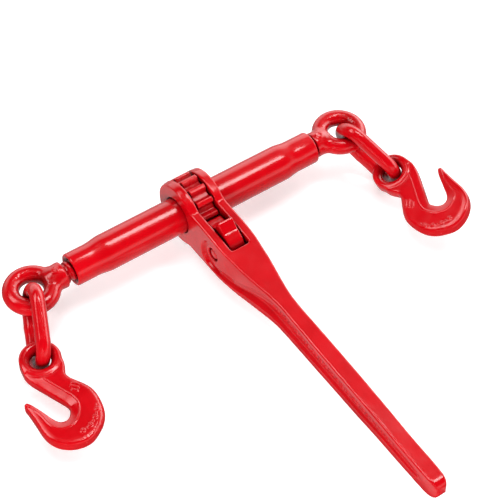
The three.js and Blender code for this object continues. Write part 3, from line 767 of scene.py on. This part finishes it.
def eye_mesh():
    uneven, fine = waves(31, 11), waves(32, 3.6)

    def field(x, y, z):
        eye_dist = np.hypot(x, y)
        ring = np.hypot(eye_dist - EYE_R, z) - EYE_WIRE
        neck_r = table_at(NECK, x[:, 0, 0])[:, None, None]
        neck = rounded(np.hypot(y, z) - neck_r, np.maximum(x - NECK_END, 13.5 - x), 1.3)
        solid = smin(ring, neck, 5.5)
        solid = np.maximum(solid, EYE_HOLE_R - eye_dist - 0.35 * z * z / 4)
        # forging flash left round the rim, and a small round witness mark on the neck
        solid = solid - 0.12 * ridge(z, 0.8) * ramp(eye_dist, 19, 22)
        mark_dist = np.hypot(x - 23.6, y)
        solid = solid - np.where(z > 0, 0.4 * bump(np.abs(mark_dist - 2.8), 1.2), 0.0)
        lumps = ramp(np.hypot(eye_dist - 15.2, z - 6.2), 3.2, 0.6)
        solid = solid - 0.22 * lumps * np.maximum(fine(x, y, z), 0)
        return solid + 0.035 * uneven(x, y, z)

    return surface(field, grid_box((-26, -26, -13), (33, 26, 13), 0.5))


def shank(hand, start, end, seg=60):
    """The threaded shank, its radius following the thread's form; hand is 1 or -1."""
    along = np.concatenate([[start], np.arange(start + 0.01, end, LEAD / 16), [end]])
    x = along[:, None]
    phase = (x / LEAD - hand * turn_angles(seg) / (2 * math.pi)) % 1.0
    # flat crests and roots with rounded flanks between, running out at both ends
    form = np.clip((0.5 - np.abs(phase - 0.5)) * 2 * 1.75 - 0.28, 0, 1)
    form = form * form * (3 - 2 * form)
    runout = ramp(x, end, end - 3.0) * ramp(x, start, start + 3.0)
    radius = MINOR_R + (MAJOR_R - 0.08 - MINOR_R) * form * runout
    left = end - x
    radius = np.where(left < 1.6, np.minimum(radius, MINOR_R - (1.6 - left) * 0.9), radius)
    return fan_capped(along, radius, seg, start, end)


def build_screws():
    eye = eye_mesh()
    half_turn = np.diag([-1.0, -1.0, 1.0])
    for side, hand, turn in (("left", 1, np.eye(3)), ("right", -1, half_turn)):
        body, node, at = f"screw_{side}", f"eye_screw_{side}", EYE_AT[side]
        piece(f"eye_forging_{side}", place(eye, at, turn), body, node, FORGED)
        thread = shank(hand, NECK_END - 2.5, SHANK_END)
        piece(f"thread_{side}", place(thread, at, turn), body, node, TUBE)
        pin = spindle(STOP_PIN_END + mirrored(STOP_PIN_END), 32)
        pin_at = at + turn @ np.array([SHANK_END - 5.5, 0, 0])
        piece(f"stop_pin_{side}_roll", place(pin, pin_at, X_TO_Y), body, f"stop_pin_{side}",
              STEEL)


# ------------------------------------------------------------------ links
BAR_R, LINK_INNER_LENGTH, LINK_INNER_WIDTH = 6.35, 51.5, 20.4
LINK_SEG = 36
HOOK_RING_R, HOOK_HOLE_R, HOOK_HALF = 18.0, 8.8, 6.4
HOOK_TURN = {"left": (0.0, 0.0, 1.6), "right": (-7.5, -25.0, -5.0)}   # degrees about x, y, z
LINK_LEAN = {"left": 15.0, "right": -19.0}                            # degrees about its length


def euler(degrees):
    cx, sx, cy, sy, cz, sz = [turn(math.radians(angle)) for angle in degrees
                              for turn in (math.cos, math.sin)]
    about_x = np.array([[1, 0, 0], [0, cx, -sx], [0, sx, cx]])
    about_y = np.array([[cy, 0, sy], [0, 1, 0], [-sy, 0, cy]])
    about_z = np.array([[cz, -sz, 0], [sz, cz, 0], [0, 0, 1]])
    return about_x @ about_y @ about_z


def unit(vector):
    return vector / np.linalg.norm(vector)


def link_path():
    """The bar's centre line in the (x, z) plane, long way along x."""
    mean = LINK_INNER_WIDTH / 2 + BAR_R
    half = (LINK_INNER_LENGTH - LINK_INNER_WIDTH) / 2
    straight = np.linspace(half, -half, 16)[1:-1]
    flat = arc(half, 0, mean, -90, 90, 34) + [(x, mean) for x in straight]
    flat += arc(-half, 0, mean, 90, 270, 34)
    flat += [(x, -mean) for x in np.linspace(-half, half, 16)[1:-1]]
    return np.array([(x, 0, z) for x, z in flat])


def link_mesh():
    path = link_path()
    # the weld in the middle of one side is a little proud and uneven
    weld = ridge(path[:, 0] + 3, 3.2) * (path[:, 2] < -10)
    verts, faces = sweep(path, BAR_R + 0.35 * weld, LINK_SEG, closed=True, up=(0, 1, 0))
    normal = verts - np.repeat(path, LINK_SEG, 0)
    normal /= np.linalg.norm(normal, axis=1)[:, None]
    return verts + normal * (0.05 * waves(41, 13)(*verts.T) - 0.04)[:, None], faces


def link_pose(side):
    """The link's middle and axes, stretched between the eye's wire and the hook's ring."""
    eye, hook = EYE_AT[side], HOOK_AT[side]
    normal = euler(HOOK_TURN[side])[:, 2]
    apart = hook - eye
    wire_at = eye + EYE_R * unit(np.array([apart[0], apart[1], 0.0]))
    toward = wire_at - hook
    toward = unit(toward - (toward @ normal) * normal)
    ring_at = hook + (HOOK_RING_R + HOOK_HOLE_R) / 2 * toward
    span = np.linalg.norm(ring_at - wire_at)
    along = (ring_at - wire_at) / span
    # half the thickness of the hook's ring as met along the link
    tilt = abs(along @ normal)
    wall = (HOOK_RING_R - HOOK_HOLE_R) / 2 * math.sqrt(1 - tilt * tilt) + HOOK_HALF * tilt - 0.3
    middle = wire_at + along * (span / 2 + (wall - EYE_WIRE) / 2)
    level = unit(np.cross([0, 0, 1.0], along))
    upright = unit(np.cross(along, level))
    lean = math.radians(LINK_LEAN[side])
    width = upright * math.cos(lean) + level * math.sin(lean)
    return middle, np.stack([along, np.cross(width, along), width], 1)


def build_links():
    mesh = link_mesh()
    for side in SIDES:
        piece(f"link_{side}", place(mesh, *link_pose(side)), f"link_{side}",
              f"chain_link_{side}", LINKS)


# ------------------------------------------------------------------ grab hooks
# (x, y) about the ring's hole, flat faces towards +-Z; the right hook is mirrored in x
SLOT_SIDES = [(-16.5, -20.5), (-8.0, -44.1), (-6.0, -49.8), (-5.7, -54.0), (-7.4, -57.6),
              (-10.0, -60.9), (-14.0, -63.0), (-18.6, -62.0), (-21.7, -58.2), (-24.8, -49.2)]
OUTLINE = [(-18.6, -2.1), (-19.4, -6.0), (-19.2, -10.5)] + SLOT_SIDES + [
    (-30.2, -33.6), (-32.6, -30.6), (-35.0, -32.0), (-35.3, -37.4), (-35.6, -43.8),
    (-36.2, -54.1), (-36.7, -62.2), (-36.1, -68.6), (-34.1, -74.7), (-30.4, -80.5),
    (-25.0, -85.2), (-18.3, -88.5), (-10.7, -90.0), (-4.8, -89.6), (1.6, -86.9), (8.5, -82.4),
    (14.6, -75.2), (18.2, -66.3), (19.9, -56.9), (19.8, -48.8), (18.2, -43.6), (15.7, -38.4),
    (12.6, -33.3), (10.0, -28.6), (9.6, -23.8), (11.8, -19.4), (14.5, -14.2)]
HOOK_LINE = spline(OUTLINE + arc(0, 0, HOOK_RING_R, -28, 172, 14), 1.6, closed=True)
SLOT_LINE = spline([(-21.0, -2.0), (-19.6, -8.0)] + SLOT_SIDES
                   + [(-30.4, -33.0), (-31.6, -30.0)], 1.6)
HOOK_MARKS = [((8.2, -36.2), (11.6, -40.6)), ((5.6, -38.4), (9.6, -43.4)),
              ((4.6, -42.2), (7.4, -46.0))]
# raised dots along the bowl; every second one is a small ring
HOOK_DOTS = [(12.4, -66.0), (11.0, -69.4), (8.6, -72.4), (5.6, -75.2), (2.2, -77.4),
             (-1.6, -79.2), (-5.6, -80.2), (-9.6, -80.6)]


def hook_thickness(x, y, outline, slot):
    """Half thickness over the (x, y) plane."""
    hole_dist = np.hypot(x, y)
    # the flat faces fall away to the slot in a wide bevel that starts from a crisp crest
    tip_dist = np.hypot(x + 32.6, y + 30.6)
    reach = 7.6 - 4.2 * ramp(tip_dist, 38, 12) * ramp(-25 - 0.367 * (y + 30) - x, 0, 2)
    bevel = np.where(slot < reach, (reach - slot) * 0.21, 0.0)
    bevel = bevel * ramp(hole_dist, 15.5, 21)
    crest = 0.75 * np.maximum(0.0, 1.0 - np.abs(slot - reach) / 0.8) * ramp(hole_dist, 19, 23)
    thick = HOOK_HALF - 0.35 - bevel + crest
    # a raised rim runs round the ring's hole, with a shallow groove outside it
    thick = (thick + 0.45 * ridge(hole_dist - 13.4, 2.6)
             - 0.55 * ridge(hole_dist - 18.4, 1.5) * (y < -6))
    # the bowl thins a little towards its outer edge
    edge = np.maximum(0.0, 6.5 + outline)
    thick = thick - 0.022 * edge**2 * ramp(-y, 14, 30)
    for mark in HOOK_MARKS:
        thick = thick + 0.55 * bump(line_dist(mark, x, y), 1.15)
    for i, (dot_x, dot_y) in enumerate(HOOK_DOTS):
        ring_r = 1.1 if i % 2 else 0.0
        thick = thick + 0.55 * bump(np.abs(np.hypot(x - dot_x, y - dot_y) - ring_r), 1.2)
    return thick


def hook_mesh():
    uneven, cast = waves(51, 15), waves(52, 2.6, 16)

    def field(x, y, z):
        plane_x, plane_y = x[:, :, 0], y[:, :, 0]
        outline = poly_sdf(HOOK_LINE, plane_x, plane_y)
        slot = line_dist(SLOT_LINE, plane_x, plane_y)
        thick = hook_thickness(plane_x, plane_y, outline, slot)[:, :, None]
        outline = outline[:, :, None]
        softer = 0.9 + 2.4 * ramp(plane_x - 0.3 * plane_y, 12, 30)
        edge_r = (1.2 + softer * ramp(slot, 3.0, 9.0))[:, :, None]
        solid = rounded(outline, np.abs(z) - thick, edge_r)
        # the hole flares at 45 degrees towards both faces
        hole_dist = np.hypot(x, y)
        solid = smax(solid, HOOK_HOLE_R - hole_dist, 3.4)
        flare = (HOOK_HOLE_R + 3.9 - hole_dist) - (HOOK_HALF - np.abs(z))
        solid = smax(solid, flare * 0.7071, 2.0)
        # a thin raised line runs round the middle of the edge
        solid = solid - 0.16 * ridge(z, 0.7) * (y < -14) * (outline > -4)
        rim = ramp(outline, -5.5, -2.0) * ramp(x - 0.55 * y, 26, 40) * (z > 0)
        return solid + 0.03 * uneven(x, y, z) + 0.13 * rim * cast(x, y, z)

    return surface(field, grid_box((-38, -91, -7.2), (21, 19, 7.2), 0.46))


def build_hooks():
    verts, faces = hook_mesh()
    for side, flip in (("left", 1), ("right", -1)):
        mesh = place((verts * (flip, 1, 1), faces), HOOK_AT[side], euler(HOOK_TURN[side]))
        piece(f"hook_{side}_forging", mesh, f"hook_{side}", f"grab_hook_{side}", HOOKS)


# ------------------------------------------------------------------ floor
def floor_reflection(tree):
    """How bright the floor looks in the paint: fading along -Y and towards -X,
    with a bright streak on either side of the handle. Places in metres."""
    x, y, _ = split_xyz(tree, "Object")
    mid_x, mid_y = CENTRE[0] / 1000, CENTRE[1] / 1000
    wide = remap(tree, y, (mid_y - 0.02, mid_y - 0.12), (0.54, 0.13))
    side_fall = remap(tree, x, (mid_x - 0.24, mid_x - 0.10), (0.30, 1.0))
    half = remap(tree, y, (mid_y - 0.125, mid_y - 0.055), (0.0078, 0.0178))
    from_middle = math_node(tree, "ABSOLUTE", math_node(tree, "SUBTRACT", x, mid_x))
    off = math_node(tree, "SUBTRACT", from_middle, half)
    rise = remap(tree, off, (0.0125, 0.0225), (0.10, 0.76))
    drop = remap(tree, off, (0.023, 0.043), (1.0, 0.15))
    zone = remap(tree, y, (mid_y - 0.045, mid_y - 0.075), (0.0, 1.0))
    streak = math_node(tree, "MULTIPLY", math_node(tree, "MULTIPLY", rise, drop), zone)
    return math_node(tree, "MAXIMUM", math_node(tree, "MULTIPLY", wide, side_fall), streak)


def floor_material():
    """Pale and matt, lifted for the camera, with its own brightness in reflections."""
    mat, tree, shader, output = new_material("pale_floor")
    pale = mix(tree, noise(tree, scale=6.0), (0.86, 0.86, 0.86, 1), (0.90, 0.90, 0.90, 1))
    ray = tree.nodes.new("ShaderNodeLightPath").outputs
    set_inputs(tree, shader, {
        "Base Color": pale, "Roughness": 0.9, "Emission Color": (1, 1, 1, 1),
        "Emission Strength": remap(tree, ray["Is Camera Ray"], (0, 1), (0.0, 0.45))})
    reflected = tree.nodes.new("ShaderNodeEmission")
    tree.links.new(floor_reflection(tree), reflected.inputs["Strength"])
    both = tree.nodes.new("ShaderNodeMixShader")
    set_inputs(tree, both, {0: ray["Is Glossy Ray"], 1: shader.outputs["BSDF"],
                            2: reflected.outputs["Emission"]})
    tree.links.new(both.outputs["Shader"], output.inputs["Surface"])
    return mat


def build_floor():
    mat = floor_material()
    me = bpy.data.meshes.new("floor")
    z = float(cad_lo.z) - 0.0005
    me.from_pydata([(-4, -4, z), (4, -4, z), (4, 4, z), (-4, 4, z)], [], [(0, 1, 2, 3)])
    me.materials.append(mat)
    floor = bpy.data.objects.new("floor", me)
    bpy.context.scene.collection.objects.link(floor)


# ------------------------------------------------------------------ world, lights, camera
SWEEP_LOW, SWEEP_FAR = 0.22, 0.30   # height of the white sweep, and its extra on the far side


def build_world():
    """A white sweep round the horizon, higher behind the object, and a dark ceiling
    with a strip light, a box light towards +X and a faint glow. Spans are parts of
    the unit view direction."""
    world = bpy.data.worlds.new("studio")
    bpy.context.scene.world = world
    world.use_nodes = True
    tree = world.node_tree
    background = tree.nodes["Background"]
    background.inputs["Color"].default_value = (1, 1, 1, 1)

    def fade(value, span, to):
        return remap(tree, value, span, to, smooth=True)

    def times(first, second):
        return math_node(tree, "MULTIPLY", first, second)

    def plus(first, second):
        return math_node(tree, "ADD", first, second)

    def window(value, rise, fall):
        return times(fade(value, rise, (0.0, 1.0)), fade(value, fall, (1.0, 0.0)))

    x, y, z = split_xyz(tree, "Generated")
    far = math_node(tree, "MAXIMUM", plus(times(x, 0.5875), times(y, 0.809)), 0.0)
    start = plus(times(far, SWEEP_FAR), SWEEP_LOW)
    wall = fade(z, (start, plus(start, 0.22)), (1.0, 0.0))
    left = fade(x, (-0.60, -0.15), (0.10, 1.0))
    level = times(times(wall, left), plus(times(far, 0.6), 1.0))
    glow = times(fade(x, (0.20, 0.60), (0.0, 0.38)), fade(y, (-0.2, 0.3), (0.0, 1.0)))
    ray = tree.nodes.new("ShaderNodeLightPath").outputs
    # the strip shows only in reflections
    panel = times(fade(x, (-0.18, 0.08), (5.0, 0.0)), window(z, (0.56, 0.70), (0.87, 0.95)))
    panel = times(panel, window(y, (0.15, 0.36), (0.52, 0.60)))
    panel = times(panel, ray["Is Glossy Ray"])
    box = times(fade(x, (0.66, 0.80), (0.0, 2.4)), window(z, (0.12, 0.25), (0.55, 0.68)))
    total = plus(plus(plus(plus(level, panel), box), glow), 0.02)
    seen = times(ray["Is Camera Ray"], 0.96)
    tree.links.new(math_node(tree, "MAXIMUM", total, seen), background.inputs["Strength"])


def area_light(name, shape, at, size, watts):
    """An area light; at in mm about the gear, size in metres."""
    light = bpy.data.lights.new(name, "AREA")
    light.shape = shape
    light.size = size
    light.energy = watts
    ob = bpy.data.objects.new(name, light)
    ob.location = (Vector(at) + Vector(CENTRE)) / 1000
    bpy.context.scene.collection.objects.link(ob)
    return ob


def build_strip():
    """A soft strip light facing straight down."""
    length, width, radiance = 1.75, 0.62, 10.5
    ob = area_light("strip", "RECTANGLE", at=(1100, -150, 3000), size=length,
                    watts=radiance * math.pi * length * width)
    ob.data.size_y = width
    ob.rotation_euler = (0, 0, math.atan2(-0.83, 0.558))


def soft_fill(name, at, size, watts):
    """A round fill lamp aimed at the gear that leaves no shape of its own in the paint."""
    ob = area_light(name, "DISK", at, size, watts)
    ob.rotation_euler = Vector(at).to_track_quat("Z", "Y").to_euler()
    ob.visible_glossy = False


def build_camera():
    right = (0.82078415, -0.57100151, 0.01645169)
    up = (0.43847054, 0.64821471, 0.62254419)
    back = (-0.36613791, -0.50376082, 0.7824117)
    at = (np.array((-511.830, -790.344, 1122.078)) + CENTRE) / 1000
    data = bpy.data.cameras.new("camera")
    data.sensor_width = 36
    data.lens = 119.124288
    data.clip_start, data.clip_end = 0.05, 20
    cam = bpy.data.objects.new("camera", data)
    cam.matrix_world = Matrix([*zip(right, up, back, at), (0, 0, 0, 1)])
    bpy.context.scene.collection.objects.link(cam)
    bpy.context.scene.camera = cam


# ------------------------------------------------------------------ build
build_tube()
build_gear()
build_handle()
build_pawl()
build_pawl_pin()
build_detent()
build_screws()
build_links()
build_hooks()
build_floor()
build_world()
bpy.context.scene.view_settings.view_transform = "Standard"
bpy.context.scene.view_settings.look = "None"
build_strip()
soft_fill("fill_left", at=(-1900, -1500, 860), size=1.6, watts=54.0)
soft_fill("fill_top", at=(-200, 100, 2500), size=1.2, watts=20.0)
build_camera()
